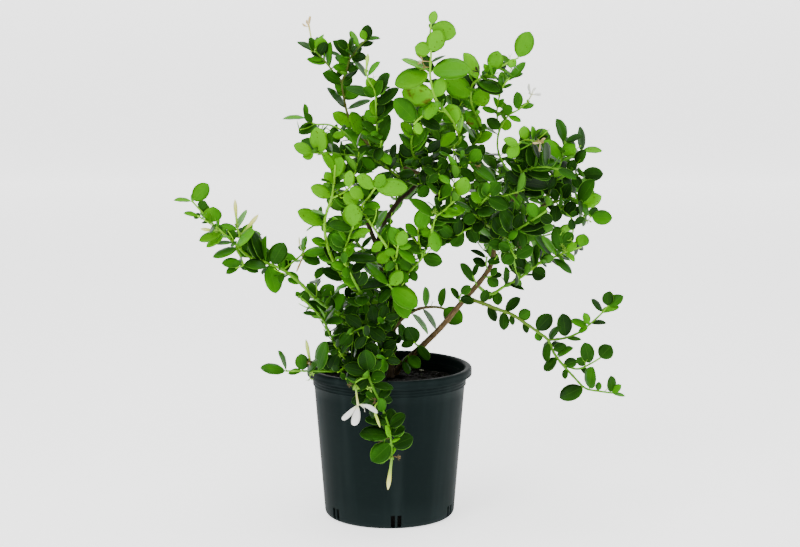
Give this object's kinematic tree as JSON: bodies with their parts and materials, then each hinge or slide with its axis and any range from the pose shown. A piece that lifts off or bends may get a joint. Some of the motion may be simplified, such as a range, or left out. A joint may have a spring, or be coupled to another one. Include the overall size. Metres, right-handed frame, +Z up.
{
  "type": "potted plant",
  "caption": "Potted natal plum shrub: forked trunks with thorny leafy sprays, white star flowers and buds, in a round black nursery pot with drain slits.",
  "frame": {"origin": "centre of the underside of the pot, on the floor", "axes": "+Z up; the picture is taken from -Y, so +X is to its right and +Y points away from the camera"},
  "size_m": [0.6627, 0.3679, 0.765],
  "materials": {
    "black_plastic": "satin moulded plastic, slightly scuffed",
    "potting_mix": "damp, crumbly bark mix",
    "bark": "rough brown bark",
    "leaf_green": "glossy leathery leaf",
    "petal_white": "soft waxy petal"
  },
  "bodies": {
    "root": {"pot": "black_plastic", "soil": "potting_mix", "trunk_centre": "bark", "trunk_right": "bark", "spray_arc": "leaf_green", "spray_back_centre": "leaf_green", "spray_back_left": "leaf_green", "spray_back_low": "leaf_green", "spray_back_right": "leaf_green", "spray_back_right_low": "leaf_green", "spray_back_top": "leaf_green", "spray_centre_bright": "leaf_green", "spray_centre_low": "leaf_green", "spray_centre_right": "leaf_green", "spray_crown_middle": "leaf_green", "spray_front_mass": "leaf_green", "spray_front_trailing": "leaf_green", "spray_left_arm": "leaf_green", "spray_left_bright": "leaf_green", "spray_left_front": "leaf_green", "spray_left_inner": "leaf_green", "spray_left_outer": "leaf_green", "spray_low_left": "leaf_green", "spray_right_arm": "leaf_green", "spray_right_crown": "leaf_green", "spray_right_front": "leaf_green", "spray_right_left": "leaf_green", "spray_right_shelf": "leaf_green", "spray_right_side": "leaf_green", "spray_right_top": "leaf_green", "spray_top_centre": "leaf_green", "spray_top_far_right": "leaf_green", "spray_top_left": "leaf_green", "spray_top_left_low": "leaf_green", "spray_top_right": "leaf_green", "spray_twig_front": "leaf_green", "spray_twig_high": "leaf_green", "spray_twig_low": "leaf_green", "spray_twig_middle": "leaf_green", "spray_twig_soil": "leaf_green", "spray_twig_top": "leaf_green", "bud_front": "petal_white", "bud_left_long": "petal_white", "bud_left_low": "petal_white", "bud_left_upright": "petal_white", "bud_low_left": "petal_white", "bud_top": "petal_white", "flower_faded_left": "petal_white", "flower_faded_right": "petal_white", "flower_front": "petal_white", "flower_pale_right": "petal_white"}
  },
  "joints": []
}
